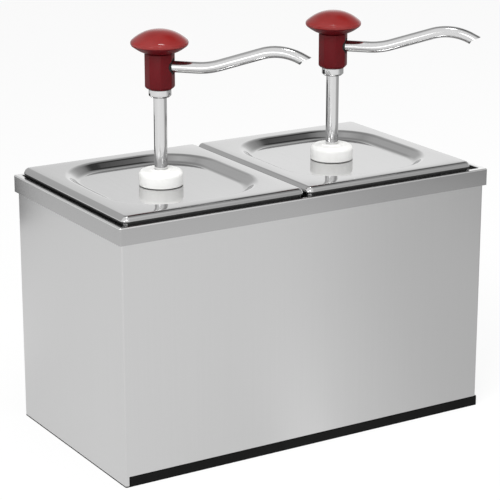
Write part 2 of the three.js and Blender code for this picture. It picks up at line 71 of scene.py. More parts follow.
# Studio: what gloss mirrors of it. Each shade of the white room has a direction, and its levels
# at angles from that direction. The floor's levels are at places along its fall. The dark card
# has a left and a right foot, the height of its lower edge at each, and the height of its top.
DIFFUSE_LEVEL = 0.62
SHADES = (
    ((0.50, 0.25, 0.83), ((46, 1.0), (7, 0.05), (12, 0.24), (17, 0.34), (29, 0.48), (39, 0.72))),
    ((-0.30, 0.85, 0.42), ((50, 1.0), (30, 0.55), (40, 0.75))),
    ((0.80, -0.55, 0.20), ((55, 1.0), (20, 0.5), (40, 0.8))),
)
FLOOR_FALL = (1.0, 0.6)
FLOOR_SHADE = ((-200, 0.95), (-100, 0.88), (-62, 1.0), (-42, 1.0), (-15, 0.87), (85, 0.67),
               (160, 0.61), (230, 0.68), (330, 0.4), (520, 0.33))
FLOOR_REACH = 6000
FLOOR_GREY = 0.92
FLOOR_GLOW = 0.85
DARK_FLAG = ((-225, 225), (-8, 319), (125, 115), 205)
FLAG_GREY = 0.02

# Lamps: place, target, size, power in watts, and whether gloss mirrors them
LAMPS = {
    "key": ((-1200, -900, 1500), (0, 0, 150), (900, 900), 26, False),
    "fill": ((1400, -600, 1100), (0, 0, 150), (900, 900), 10, False),
    "window": ((-686, -1147, 881), (0, 0, 200), (420, 300), 1.6, True),
    "strip": ((-80, -150, 1500), (0, 0, 330), (260, 80), 1.1, True),
    "side_window": ((-900, -470, 330), (0, 0, 300), (300, 300), 0.45, True),
}

# Housing, pans and lids
SHELL = {"sheet": 1.2, "corner": 1.6, "band_depth": 16, "band_start": 3.4}
BAND = {"sheet": 1.2, "corner": 1.6, "pocket": 2, "edge": 0.9, "inner_edge": 0.5, "hem": 5,
        "ledge_drop": 3, "opening_margin": 6, "opening_corner": 16, "overlap": 0.6}
BASE_EDGE = 0.9
PAN = {"sheet": 0.9, "rim_corner": 5.5, "land": 9.7, "mouth_corner": 24, "taper": 6,
       "floor_corner": 22, "floor_fillet": 11, "bend": 2, "rim_bend": 3.5, "lip": 7.9}
LID = {"sheet": 1, "corner": 5.5, "edge": 4.8, "edge_run": 4.2, "skirt": 5.4, "margin": 15.5,
       "recess": 5.6, "recess_corner": 46, "run": 8, "upper_fillet": 8, "lower_fillet": 9}

# Pump
CAP = {"height": 12.1, "edge": 4.2, "foot_edge": 0.7, "neck": 17, "neck_edge": 0.4, "roof": 3.6,
       "bore": 27.6}
BLOCK = {"width": 22.1, "chamfer": 1.8, "facets": 8, "edge": 0.7, "spout_level": 18.3,
         "seat_depth": 3.6}
KNOB = {"seat": 24, "foot": 2.2, "rim_drop": 5.5, "edge": 3, "edge_start": -math.pi / 3,
        "edge_end": 0.85, "power": 2.3, "sag": 1.0, "underside": -0.6}
SPOUT = {"wall": 0.8, "diameter": 9.2, "heading": math.radians(-47), "start": 6, "level_end": 30,
         "climb_radius": 60, "climb_angle": math.radians(18), "climb": 35, "crest_radius": 42,
         "drop_angle": math.radians(26), "tip_length": 2.5, "tip_cut": math.radians(22),
         "steps": (6, 14, 6, 28, 2)}
BUSH_CHAMFER = 1.6

# Grain of the materials
NOISE_DETAIL = 3.0
NOISE_ROUGHNESS = 0.6
NOISE_RANGE = (0.3, 0.7)
MOTTLE = (60, 60, 60)
STEEL_RELIEF = 0.02
PLASTIC_RELIEF = 0.03


def cad(node):
    """A CAD node's lowest and highest corners, in millimetres."""
    low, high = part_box(node)
    return low / MM, high / MM


# Points and meshes
def arc(centre, radius, start, end, steps):
    """Points of a circular arc as [across, up] pairs."""
    angles = [start + (end - start) * i / steps for i in range(steps + 1)]
    return [(centre[0] + radius * math.cos(a), centre[1] + radius * math.sin(a)) for a in angles]


def ring(outline, z, offset=0.0):
    """Points round a rounded rectangle (width, depth, corner), grown by offset."""
    width, depth, corner = outline
    corner = max(corner + offset, LEAST_CORNER)
    half_x, half_y = width / 2 + offset - corner, depth / 2 + offset - corner
    points = []
    for quarter, (side_x, side_y) in enumerate(((1, 1), (-1, 1), (-1, -1), (1, -1))):
        for step in range(CORNER_STEPS + 1):
            angle = (quarter + step / CORNER_STEPS) * math.pi / 2
            points.append((side_x * half_x + corner * math.cos(angle),
                           side_y * half_y + corner * math.sin(angle), z))
    return points


def circle(radius, z, steps=ROUND_STEPS):
    """Points round a circle."""
    angles = [2 * math.pi * i / steps for i in range(steps)]
    return [(radius * math.cos(a), radius * math.sin(a), z) for a in angles]


def skin(rings, closed=False):
    """Vertices and faces of rings of points joined one to the next, closed up or capped."""
    count = len(rings[0])
    points = [p for r in rings for p in r]
    faces = []
    bands = len(rings) if closed else len(rings) - 1
    for i in range(bands):
        low, high = i * count, (i + 1) % len(rings) * count
        for j in range(count):
            k = (j + 1) % count
            faces.append((low + j, low + k, high + k, high + j))
    if not closed:
        last = (len(rings) - 1) * count
        faces.append(tuple(reversed(range(count))))
        faces.append(tuple(range(last, last + count)))
    return points, faces


def turned(profile):
    """A turned skin from [radius, height] pairs; it closes on itself, or on the axis."""
    on_axis = profile[0][0] == 0 and profile[-1][0] == 0
    if not on_axis:
        return skin([circle(r, z) for r, z in profile], closed=True)
    points, faces = skin([circle(r, z) for r, z in profile[1:-1]])
    faces = faces[:-2]
    first, last = len(points), len(points) + 1
    points += [(0, 0, profile[0][1]), (0, 0, profile[-1][1])]
    top = (len(profile) - 3) * ROUND_STEPS
    for j in range(ROUND_STEPS):
        k = (j + 1) % ROUND_STEPS
        faces.append((first, k, j))
        faces.append((last, top + j, top + k))
    return points, faces


def box_skin(low, high):
    """Vertices and faces of a plain box, used to cut others."""
    points = [(x, y, z) for z in (low[2], high[2]) for x, y in
              ((low[0], low[1]), (high[0], low[1]), (high[0], high[1]), (low[0], high[1]))]
    faces = [(3, 2, 1, 0), (4, 5, 6, 7), (0, 1, 5, 4), (1, 2, 6, 5), (2, 3, 7, 6), (3, 0, 4, 7)]
    return points, faces


def shaped(name, shape, place=(0, 0, 0)):
    """A mesh object from points in millimetres, with its faces pointing out."""
    points, faces = shape
    mesh = bpy.data.meshes.new(name)
    mesh.from_pydata([Vector(p) * MM for p in points], [], faces)
    made = bpy.data.objects.new(name, mesh)
    made.location = Vector(place) * MM
    bpy.context.scene.collection.objects.link(made)
    point_out(mesh)
    return made


def point_out(mesh):
    """Turns the faces over where the closed skin has a negative volume."""
    mesh.calc_loop_triangles()
    volume = 0.0
    for triangle in mesh.loop_triangles:
        a, b, c = (mesh.vertices[i].co for i in triangle.vertices)
        volume += a.dot(b.cross(c))
    if volume < 0:
        mesh.flip_normals()


def settle(made):
    """Applies an object's modifiers to its mesh."""
    graph = bpy.context.evaluated_depsgraph_get()
    mesh = bpy.data.meshes.new_from_object(made.evaluated_get(graph))
    old = made.data
    made.modifiers.clear()
    made.data = mesh
    bpy.data.meshes.remove(old)
    mesh.name = made.name


def combine(made, tools, operation):
    """Joins tools to a piece, or cuts it with them, and removes the tools."""
    for tool in tools:
        step = made.modifiers.new(operation.lower(), "BOOLEAN")
        step.operation = operation
        step.solver = "EXACT"
        step.object = tool
    bpy.context.view_layer.update()
    settle(made)
    for tool in tools:
        bpy.data.objects.remove(tool)


def soften(made, width):
    """Rounds the edges of a piece."""
    step = made.modifiers.new("edges", "BEVEL")
    step.width = width * MM
    step.segments = EDGE_SEGMENTS
    step.limit_method = "ANGLE"
    step.angle_limit = EDGE_ANGLE
    bpy.context.view_layer.update()
    settle(made)


def finish(made, body, slot, material, *nodes):
    """Shades a piece, gives it its finish and body, and hides the CAD nodes that it stands for."""
    made.data.shade_smooth()
    made.data.set_sharp_from_angle(angle=SMOOTH_ANGLE)
    made.data.materials.clear()
    made.data.materials.append(material)
    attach(made, body)
    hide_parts(*nodes)
    return made


def paint_light_and_shade(made, material, chosen):
    """Gives a second material to the faces chosen by their middle, in mm, and direction: painted
    light or shade on those faces.
    """
    made.data.materials.append(material)
    for face in made.data.polygons:
        if chosen(face.center / MM, face.normal):
            face.material_index = 1


# Materials
def new_material(name):
    """An empty node material with its Principled shader."""
    material = bpy.data.materials.new(name)
    material.use_nodes = True
    nodes = material.node_tree.nodes
    nodes.clear()
    output = nodes.new("ShaderNodeOutputMaterial")
    shader = nodes.new("ShaderNodeBsdfPrincipled")
    material.node_tree.links.new(shader.outputs["BSDF"], output.inputs["Surface"])
    return material, shader


def stretched_noise(material, scale):
    """Noise in the object's own coordinates, with its own scale along each axis."""
    nodes, links = material.node_tree.nodes, material.node_tree.links
    place = nodes.new("ShaderNodeTexCoord")
    mapping = nodes.new("ShaderNodeMapping")
    mapping.inputs["Scale"].default_value = scale
    noise = nodes.new("ShaderNodeTexNoise")
    noise.inputs["Scale"].default_value = 1.0
    noise.inputs["Detail"].default_value = NOISE_DETAIL
    noise.inputs["Roughness"].default_value = NOISE_ROUGHNESS
    links.new(place.outputs["Object"], mapping.inputs["Vector"])
    links.new(mapping.outputs["Vector"], noise.inputs["Vector"])
    return noise.outputs["Fac"]


def ranged(material, value, low, high):
    """Maps a noise value to a range."""
    nodes, links = material.node_tree.nodes, material.node_tree.links
    step = nodes.new("ShaderNodeMapRange")
    step.inputs["From Min"].default_value, step.inputs["From Max"].default_value = NOISE_RANGE
    step.inputs["To Min"].default_value = low
    step.inputs["To Max"].default_value = high
    links.new(value, step.inputs["Value"])
    return step.outputs["Result"]


def blended(material, value, dark, light):
    """A colour between two, chosen by a noise value."""
    nodes, links = material.node_tree.nodes, material.node_tree.links
    mix = nodes.new("ShaderNodeMix")
    mix.data_type = "RGBA"
    # A Mix node's colours are its inputs 6 and 7 and its output 2
    mix.inputs[6].default_value = (*dark, 1)
    mix.inputs[7].default_value = (*light, 1)
    links.new(ranged(material, value, 0.0, 1.0), mix.inputs[0])
    return mix.outputs[2]


def bumped(material, value, strength, distance):
    """A normal from a height."""
    nodes, links = material.node_tree.nodes, material.node_tree.links
    bump = nodes.new("ShaderNodeBump")
    bump.inputs["Strength"].default_value = strength
    bump.inputs["Distance"].default_value = distance * MM
    links.new(value, bump.inputs["Height"])
    return bump.outputs["Normal"]


def steel(name, grain, dark, light, rough, bump_strength):
    """Steel whose fine grain shows in its grey level, its gloss and its surface."""
    material, shader = new_material(name)
    links = material.node_tree.links
    lines = stretched_noise(material, grain)
    shader.inputs["Metallic"].default_value = 1.0
    links.new(blended(material, lines, (dark,) * 3, (light,) * 3), shader.inputs["Base Color"])
    links.new(ranged(material, lines, *rough), shader.inputs["Roughness"])
    links.new(bumped(material, lines, bump_strength, STEEL_RELIEF), shader.inputs["Normal"])
    return material


def plastic(name, dark, light, rough, grain, bump_strength, gloss=0.5):
    """Moulded plastic with a faint mottle and a fine orange peel."""
    material, shader = new_material(name)
    links = material.node_tree.links
    mottle = stretched_noise(material, MOTTLE)
    peel = stretched_noise(material, (grain, grain, grain))
    links.new(blended(material, mottle, dark, light), shader.inputs["Base Color"])
    links.new(ranged(material, mottle, *rough), shader.inputs["Roughness"])
    links.new(bumped(material, peel, bump_strength, PLASTIC_RELIEF), shader.inputs["Normal"])
    shader.inputs["Specular IOR Level"].default_value = gloss
    return material


HOUSING_STEEL = steel("housing_steel", (900, 900, 7), 0.595, 0.605, (0.28, 0.30), 0.02)
FRAME_STEEL = steel("frame_steel", (7, 7, 900), 0.42, 0.43, (0.22, 0.24), 0.02)
# Painted highlight: a bright, glossy steel that draws white lines along the frame's hem edges.
PAINTED_HIGHLIGHT_STEEL = steel("painted_highlight_steel", (30, 30, 900), 0.90, 0.94, (0.12, 0.16), 0.02)
LID_STEEL = steel("pressed_steel", (500, 40, 500), 0.60, 0.62, (0.05, 0.08), 0.02)
PAN_STEEL = steel("drawn_steel", (300, 300, 30), 0.54, 0.56, (0.28, 0.32), 0.01)
# Painted shade: a near-black steel for faces where shadow falls.
PAINTED_SHADE_STEEL = steel("painted_shade_steel", (300, 300, 30), 0.05, 0.07, (0.45, 0.55), 0.05)
ROD_STEEL = steel("polished_steel", (700, 700, 20), 0.66, 0.70, (0.07, 0.11), 0.03)
SPOUT_STEEL = steel("spout_steel", (300, 300, 300), 0.65, 0.67, (0.13, 0.15), 0.01)
WIRE_STEEL = steel("wire_steel", (400, 400, 400), 0.36, 0.42, (0.3, 0.4), 0.05)
KNOB_RED = plastic("knob_red", (0.21, 0.014, 0.013), (0.23, 0.017, 0.016), (0.10, 0.12), 900,
                   0.005, gloss=0.4)
# Painted shade: a darker copy of the knob's red, for the block and the knob's underside.
SHADED_RED = plastic("shaded_red", (0.085, 0.002, 0.004), (0.10, 0.003, 0.006), (0.30, 0.38), 900,
                    0.02, gloss=0.15)
WHITE = plastic("white_plastic", (0.84, 0.84, 0.82), (0.88, 0.88, 0.87), (0.35, 0.45), 700, 0.03)
BLACK = plastic("black_plastic", (0.003, 0.003, 0.003), (0.005, 0.005, 0.005), (0.4, 0.5), 600,
                0.05, gloss=0.1)
RUBBER = plastic("black_rubber", (0.008, 0.008, 0.008), (0.014, 0.014, 0.014), (0.7, 0.85), 500,
                 0.15)


# Housing
def housing_walls():
    low, high = cad("housing_shell")
    tray_low, tray_high = cad("base_tray")
    outline = (high.x - low.x, high.y - low.y, SHELL["corner"])
    walls = shaped("housing_walls", skin([
        ring(outline, low.z, -SHELL["sheet"]),
        ring(outline, low.z),
        ring(outline, high.z),
        ring(outline, high.z, -SHELL["sheet"]),
    ], closed=True))
    reach = SHELL["band_depth"] + GAP
    left = low.x + SHELL["band_start"] - GAP
    right = tray_high.x + SHELL["band_depth"]
    top = tray_high.z + GAP
    under = tray_low.z - SHELL["band_depth"]
    notches = [
        shaped("front_notch", box_skin((left, low.y - reach, under), (right, low.y + reach, top))),
        shaped("back_notch", box_skin((left, high.y - reach, under), (right, high.y + reach, top))),
    ]
    combine(walls, notches, "DIFFERENCE")
    return finish(walls, "housing", "brushed_steel", HOUSING_STEEL, "housing_shell")


def base_moulding():
    _, high = cad("base_tray")
    shell_low, shell_high = cad("housing_shell")
    outline = (shell_high.x - shell_low.x, shell_high.y - shell_low.y, SHELL["corner"])
    inset = -SHELL["sheet"] - GAP
    lip_top = shell_low.z - GAP
    core = shaped("base_moulding", skin([ring(outline, 0.0, inset), ring(outline, high.z, inset)]))
    lip = shaped("lip", skin([ring(outline, 0.0), ring(outline, lip_top)]))
    left = shell_low.x + SHELL["band_start"]
    overhang = high.x - shell_high.x
    edge = BASE_EDGE
    bands = []
    for side in (-1, 1):
        face = side * shell_high.y
        middle = ((left + high.x) / 2, face - side * SHELL["band_depth"] / 2, 0)
        around = (high.x - left, SHELL["band_depth"], overhang)
        crown = [ring(around, z, offset)
                 for offset, z in arc((-edge, high.z - edge), edge, 0, math.pi / 2, STEPS["tiny"])]
        bands.append(shaped("band", skin([ring(around, 0.0), *crown]), middle))
    combine(core, [lip, *bands], "UNION")
    return finish(core, "housing", "black_plastic", BLACK, "base_tray")


def frame_band():
    low, high = cad("top_frame")
    outline = (high.x - low.x, high.y - low.y, BAND["corner"])
    edge, hem, sheet = BAND["edge"], BAND["hem"], BAND["sheet"]
    ledge = high.z - BAND["ledge_drop"]
    pocket = (outline[0] - 2 * hem, outline[1] - 2 * hem, BAND["pocket"])
    inner = BAND["inner_edge"]
    outer_roll = arc((-edge, high.z - edge), edge, 0, math.pi / 2, STEPS["edge"])
    inner_roll = arc((inner, high.z - inner), inner, math.pi / 2, math.pi, STEPS["small"])
    band = shaped("frame_band", skin([
        ring(outline, low.z),
        *[ring(outline, z, offset) for offset, z in outer_roll],
        *[ring(pocket, z, offset) for offset, z in inner_roll],
        ring(pocket, ledge - BAND["overlap"]),
        ring(outline, ledge - BAND["overlap"], -sheet),
        ring(outline, low.z, -sheet),
    ], closed=True))
    plate = shaped("ledge", skin([ring(outline, ledge - sheet, -BAND["overlap"]),
                                  ring(outline, ledge, -BAND["overlap"])]))
    holes = []
    for side in ("left", "right"):
        pan_low, pan_high = cad(f"{side}_pan")
        shrink = BAND["opening_margin"] - PAN["land"]
        opening = (pan_high.x - pan_low.x + 2 * shrink, pan_high.y - pan_low.y + 2 * shrink,
                   BAND["opening_corner"])
        centre = ((pan_high.x + pan_low.x) / 2, 0, 0)
        holes.append(shaped("opening", skin([ring(opening, low.z), ring(opening, high.z)]), centre))
    combine(plate, holes, "DIFFERENCE")
    combine(band, [plate], "UNION")
    finish(band, "housing", "brushed_steel", FRAME_STEEL, "top_frame")
    # Painted highlight on the rounded top edge of the hem.
    paint_light_and_shade(band, PAINTED_HIGHLIGHT_STEEL, lambda place, facing: place.z > high.z - edge and (
        abs(place.x) > high.x - hem or abs(place.y) > high.y - hem))
    return band


# One station: pan, lid and pump round its own axis
def food_pan(side, axis):
    low, high = cad(f"{side}_pan")
    sheet, bend, rim_bend = PAN["sheet"], PAN["bend"], PAN["rim_bend"]
    rim = (high.x - low.x, high.y - low.y, PAN["rim_corner"])
    mouth = (rim[0] - 2 * PAN["land"], rim[1] - 2 * PAN["land"], PAN["mouth_corner"])
    floor = (mouth[0] - 2 * PAN["taper"], mouth[1] - 2 * PAN["taper"], PAN["floor_corner"])
    lip = high.z - PAN["lip"]
    quarter = math.pi / 2

    def bottom(offset, z, radius):
        return [ring(floor, up, across)
                for across, up in arc((offset - radius, z + radius), radius, -quarter, 0,
                                      STEPS["edge"])]

    def bent(outline, centre, radius, start, end):
        return [ring(outline, up, across)
                for across, up in arc((centre, high.z - abs(centre)), radius, start, end,
                                      STEPS["roll"])]

    fillet = PAN["floor_fillet"]
    rings = [
        *bottom(0, low.z, fillet),
        *bent(mouth, bend, bend - sheet, math.pi, quarter),
        *bent(rim, -rim_bend, rim_bend - sheet, quarter, 0),
        ring(rim, lip, -sheet),
        ring(rim, lip),
        *bent(rim, -rim_bend, rim_bend, 0, quarter),
        *bent(mouth, bend, bend, quarter, math.pi),
        *reversed(bottom(-sheet, low.z + sheet, fillet - sheet)),
    ]
    pan = shaped(f"{side}_food_pan", skin(rings), (axis, 0, 0))
    finish(pan, f"{side}_pan_unit", "brushed_steel", PAN_STEEL, f"{side}_pan")
    half = (rim[0] / 2 - sheet / 2, rim[1] / 2 - sheet / 2)
    # Painted shade on the outside of the pan's rim lip, in the gap under the lid.
    paint_light_and_shade(pan, PAINTED_SHADE_STEEL, lambda place, facing: place.z < high.z and (
        abs(place.x) > half[0] or abs(place.y) > half[1]))
    return pan


def recess_profile(top, slope, shift):
    """The recess wall as [offset, height] pairs, with a fillet at its top and at its bottom."""
    fillet, foot = LID["upper_fillet"], LID["lower_fillet"]
    upper = arc((fillet * math.tan(slope / 2) + shift, top - fillet), fillet, math.pi / 2,
                math.pi / 2 + slope, STEPS["edge"])
    lower = arc((shift - LID["run"] - foot * math.tan(slope / 2), top - LID["recess"] + foot), foot,
                slope - math.pi / 2, -math.pi / 2, STEPS["edge"])
    return [*upper, *lower]


def pressed_lid(side, axis):
    low, high = cad(f"{side}_lid")
    outline = (high.x - low.x, high.y - low.y, LID["corner"])
    recess = (outline[0] - 2 * LID["margin"], outline[1] - 2 * LID["margin"], LID["recess_corner"])
    sheet, edge, run = LID["sheet"], LID["edge"], LID["edge_run"]
    skirt = high.z - LID["skirt"]

    def crowned(inset):
        return [(run * (across - 1) - inset * across, high.z + edge * (up - 1) - inset * up)
                for across, up in arc((0, 0), 1, 0, math.pi / 2, STEPS["crown"])]

    crown, inside = crowned(0), reversed(crowned(sheet))
    roll = arc((-sheet / 2, skirt + sheet / 2), sheet / 2, math.pi, 2 * math.pi, STEPS["roll"])
    slope = math.atan2(LID["recess"], LID["run"])
    wall = recess_profile(high.z, slope, 0)
    under = recess_profile(high.z - sheet, slope, sheet * math.tan(slope / 2))
    hole = CAP["bore"] / 2
    rings = [
        *[ring(outline, z, offset) for offset, z in inside],
        *[ring(outline, z, offset) for offset, z in roll],
        *[ring(outline, z, offset) for offset, z in crown],
        *[ring(recess, z, offset) for offset, z in wall],
        hole_ring(hole, high.z - LID["recess"]),
        hole_ring(hole, high.z - LID["recess"] - sheet),
        *[ring(recess, z, offset) for offset, z in reversed(under)],
    ]
    lid = shaped(f"{side}_pressed_lid", skin(rings, closed=True), (axis, 0, 0))
    finish(lid, f"{side}_lid_unit", "lid_steel", LID_STEEL, f"{side}_lid")
    # Painted shade on the lid's lowest rolled edge.
    paint_light_and_shade(lid, PAINTED_SHADE_STEEL, lambda place, facing: place.z < skirt + sheet and (
        abs(place.x) > outline[0] / 2 - edge or abs(place.y) > outline[1] / 2 - edge))
    return lid


def hole_ring(radius, z):
    """A circle whose points lie at the angles of a rounded rectangle's points."""
    quarter_steps = CORNER_STEPS + 1
    points = []
    for i in range(4 * quarter_steps):
        quarter, step = divmod(i, quarter_steps)
        angle = (quarter + (step + 0.5) / quarter_steps) * math.pi / 2
        points.append((radius * math.cos(angle), radius * math.sin(angle), z))
    return points


def white_cap(side, axis):
    low, high = cad(f"{side}_cap_nut")
    outer, inner, neck = (high.x - low.x) / 2, CAP["bore"] / 2, CAP["neck"] / 2
    shoulder = low.z + CAP["height"]
    rod_low, rod_high = cad(f"{side}_rod")
    hole = (rod_high.x - rod_low.x) / 2 + GAP
    edge, neck_edge = CAP["edge"], CAP["neck_edge"]
    foot_edge = CAP["foot_edge"]
    cap = shaped(f"{side}_white_cap", turned([
        (inner, low.z),
        *arc((outer - foot_edge, low.z + foot_edge), foot_edge, -math.pi / 2, 0, STEPS["tiny"]),
        *arc((outer - edge, shoulder - edge), edge, 0, math.pi / 2, STEPS["round"]),
        *arc((neck + neck_edge, shoulder + neck_edge), neck_edge, -math.pi / 2, -math.pi,
             STEPS["tiny"]),
        *arc((neck - neck_edge, high.z - neck_edge), neck_edge, 0, math.pi / 2, STEPS["small"]),
        (hole, high.z),
        (hole, shoulder - CAP["roof"]),
        (inner, shoulder - CAP["roof"]),
    ]), (axis, 0, 0))
    return finish(cap, f"{side}_lid_unit", "white_plastic", WHITE, f"{side}_cap_nut")


def polished_rod(side, axis):
    low, high = cad(f"{side}_rod")
    outer = (high.x - low.x) / 2
    rod = shaped(f"{side}_polished_rod", turned([
        (0, low.z), (outer, low.z), (outer, high.z), (0, high.z)]), (axis, 0, 0))
    return finish(rod, f"{side}_plunger", "polished_steel", ROD_STEEL, f"{side}_rod")


def bush_collar(side, axis):
    low, high = cad(f"{side}_head_bush")
    block_low, _ = cad(f"{side}_head_block")
    rod_low, rod_high = cad(f"{side}_rod")
    outer = (high.x - low.x) / 2
    hole = (rod_high.x - rod_low.x) / 2 + GAP / 2
    shoulder = block_low.z - GAP
    edge = GAP
    bush = shaped(f"{side}_bush_collar", turned([
        (hole, low.z),
        (outer - BUSH_CHAMFER - edge, low.z),
        (outer - BUSH_CHAMFER, low.z + edge / 2),
        (outer - edge / 2, low.z + BUSH_CHAMFER - edge / 2),
        (outer, low.z + BUSH_CHAMFER + edge),
        (outer, shoulder),
        (hole, shoulder),
    ]), (axis, 0, 0))
    return finish(bush, f"{side}_head", "polished_steel", ROD_STEEL, f"{side}_head_bush")


def spout_place(side):
    """Where the spout leaves its head block, turned to its heading."""
    block_low, _ = cad(f"{side}_head_block")
    return (Matrix.Translation((0, 0, block_low.z + BLOCK["spout_level"]))
            @ Matrix.Rotation(SPOUT["heading"], 4, "Z"))


def faceted_block(side, axis):
    low, high = cad(f"{side}_head_block")
    facets, chamfer = BLOCK["facets"], BLOCK["chamfer"]
    corner = BLOCK["width"] / 2 / math.cos(math.pi / facets)
    turn = Matrix.Rotation(SPOUT["heading"] + math.pi / facets, 4, "Z")
    top = high.z - KNOB["foot"]
    levels = [(corner - chamfer, low.z), (corner, low.z + chamfer), (corner, top)]
    points, faces = skin([circle(r, z, facets) for r, z in levels])
    points = [turn @ Vector(p) for p in points]
    block = shaped(f"{side}_faceted_block", (points, faces), (axis, 0, 0))
    soften(block, BLOCK["edge"])
    seal_low, seal_high = cad(f"{side}_spout_seal")
    recess = (seal_high.z - seal_low.z) / 2 + GAP
    face = BLOCK["width"] / 2
    depth = face - BLOCK["seat_depth"]
    points, faces = turned([(0, depth), (recess, depth), (recess, face * 2), (0, face * 2)])
    lay = spout_place(side) @ Matrix.Rotation(math.pi / 2, 4, "Y")
    seat = shaped("seat", ([lay @ Vector(p) for p in points], faces), (axis, 0, 0))
    combine(block, [seat], "DIFFERENCE")
    # Painted shade: the block takes the darker copy of the knob's red.
    return finish(block, f"{side}_head", "red_plastic", SHADED_RED, f"{side}_head_block")


def root_ring(side, axis):
    low, high = cad(f"{side}_spout_seal")
    outer = (high.z - low.z) / 2
    inner = SPOUT["diameter"] / 2 + GAP / 3
    face = BLOCK["width"] / 2
    edge = GAP
    depth = face - BLOCK["seat_depth"] + edge
    points, faces = turned([(inner, depth), (outer, depth), (outer, face - 2 * edge),
                            (outer - edge, face - edge), (inner + edge, face - edge),
                            (inner, face - 2 * edge)])
    lay = spout_place(side) @ Matrix.Rotation(math.pi / 2, 4, "Y")
    seal = shaped(f"{side}_root_ring", ([lay @ Vector(p) for p in points], faces), (axis, 0, 0))
    return finish(seal, f"{side}_head", "black_rubber", RUBBER, f"{side}_spout_seal")


def spout_line():
    """Places and directions along the spout's centre line, in its own upright plane."""
    turn = SPOUT["climb_angle"] + SPOUT["drop_angle"]
    stretches = [
        (SPOUT["level_end"] - SPOUT["start"], 0),
        (SPOUT["climb_radius"] * SPOUT["climb_angle"], 1 / SPOUT["climb_radius"]),
        (SPOUT["climb"], 0),
        (SPOUT["crest_radius"] * turn, -1 / SPOUT["crest_radius"]),
        (SPOUT["tip_length"], 0),
    ]
    across, up, angle = SPOUT["start"], 0.0, 0.0
    line = [(across, up, angle)]
    for (length, bend), steps in zip(stretches, SPOUT["steps"]):
        run = length / steps
        for _ in range(steps):
            middle = angle + run * bend / 2
            chord = run if bend == 0 else 2 * math.sin(run * bend / 2) / bend
            across += chord * math.cos(middle)
            up += chord * math.sin(middle)
            angle += run * bend
            line.append((across, up, angle))
    return line


def tube_ring(place, radius, cut):
    """Points round the tube; at the tip they slide along the tube onto the cut plane."""
    across, up, angle = place
    along = Vector((math.cos(angle), 0, math.sin(angle)))
    out = Vector((-math.sin(angle), 0, math.cos(angle)))
    normal = Vector((-math.sin(SPOUT["tip_cut"]), 0, math.cos(SPOUT["tip_cut"])))
    points = []
    for step in range(TUBE_STEPS):
        turn = 2 * math.pi * step / TUBE_STEPS
        offset = radius * (math.cos(turn) * out + math.sin(turn) * Vector((0, 1, 0)))
        if cut:
            offset -= along * (offset.dot(normal) / along.dot(normal))
        points.append(Vector((across, 0, up)) + offset)
    return points


def curved_spout(side, axis):
    outer = SPOUT["diameter"] / 2
    inner = outer - SPOUT["wall"]
    line = spout_line()
    lip = SPOUT["wall"] / 4
    outside = [tube_ring(place, outer, False) for place in line[:-1]]
    inside = [tube_ring(place, inner, False) for place in reversed(line[:-1])]
    tip = line[-1]
    rings = [*outside, tube_ring(tip, outer, True), tube_ring(tip, outer - lip, True),
             tube_ring(tip, inner, True), *inside]
    points, faces = skin(rings, closed=True)
    lay = spout_place(side)
    spout = shaped(f"{side}_curved_spout", ([lay @ p for p in points], faces), (axis, 0, 0))
    return finish(spout, f"{side}_head", "polished_steel", SPOUT_STEEL, f"{side}_spout")


def palm_knob(side, axis):
    low, high = cad(f"{side}_knob")
    _, block_high = cad(f"{side}_head_block")
    rim = (high.x - low.x) / 2
    edge = KNOB["edge"]
    seat_z = block_high.z + GAP - KNOB["foot"]
    rim_z = seat_z + KNOB["foot"] + KNOB["rim_drop"]
    seat = KNOB["seat"] / 2
    stud = seat / 2
    rim_edge = arc((rim - edge, rim_z), edge, KNOB["edge_start"], KNOB["edge_end"], STEPS["round"])
    dome_radius, dome_z = rim_edge[-1]
    dome = []
    for i in range(1, DOME_STEPS):
        share = 1 - i / DOME_STEPS
        rise = (high.z - dome_z) * (1 - share ** KNOB["power"])
        dome.append((dome_radius * share, dome_z + rise))
    under = []
    for i in range(1, STEPS["edge"]):
        share = i / STEPS["edge"]
        under.append((seat + (rim_edge[0][0] - seat) * share,
                      seat_z + (rim_edge[0][1] - seat_z) * share
                      - KNOB["sag"] * math.sin(share * math.pi) / 2))
    knob = shaped(f"{side}_palm_knob", turned([
        (0, low.z), (stud, low.z), (stud, seat_z), (seat, seat_z),
        *under,
        *rim_edge,
        *dome,
        (0, high.z),
    ]), (axis, 0, 0))
    finish(knob, f"{side}_head", "red_plastic", KNOB_RED, f"{side}_knob")
    # Painted shade on the knob's underside.
    paint_light_and_shade(knob, SHADED_RED, lambda place, facing: facing.z < KNOB["underside"])
    return knob


STATION = (food_pan, pressed_lid, white_cap, polished_rod, bush_collar, faceted_block, root_ring,
           curved_spout, palm_knob)
CARRIED = {"base_plate": HOUSING_STEEL, "gasket": RUBBER, "barrel": WHITE, "rod_guide": WHITE,
           "foot_valve": WHITE, "inlet_cage": WHITE, "inlet_ball": ROD_STEEL,
           "outlet_ball": ROD_STEEL, "return_spring": WIRE_STEEL, "piston": WHITE,
           "piston_seal": RUBBER}


def dress_carried():
    """Gives the CAD nodes that no piece replaces their finish; the screws have the default."""
    for name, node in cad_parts.items():
        if node.hide_render:
            continue
        kind = name.removeprefix("left_").removeprefix("right_")
        node.data.materials.clear()
        node.data.materials.append(CARRIED.get(kind, ROD_STEEL))


# Floor, light and camera
def lit_by_path(nodes, links):
    """1 for rays from the camera or off glossy and clear surfaces, else 0."""
    path = nodes.new("ShaderNodeLightPath")
    total = None
    for ray in ("Is Camera Ray", "Is Glossy Ray", "Is Transmission Ray"):
        if total is None:
            total = path.outputs[ray]
            continue
        step = nodes.new("ShaderNodeMath")
        step.operation = "MAXIMUM"
        links.new(total, step.inputs[0])
        links.new(path.outputs[ray], step.inputs[1])
        total = step.outputs[0]
    return total


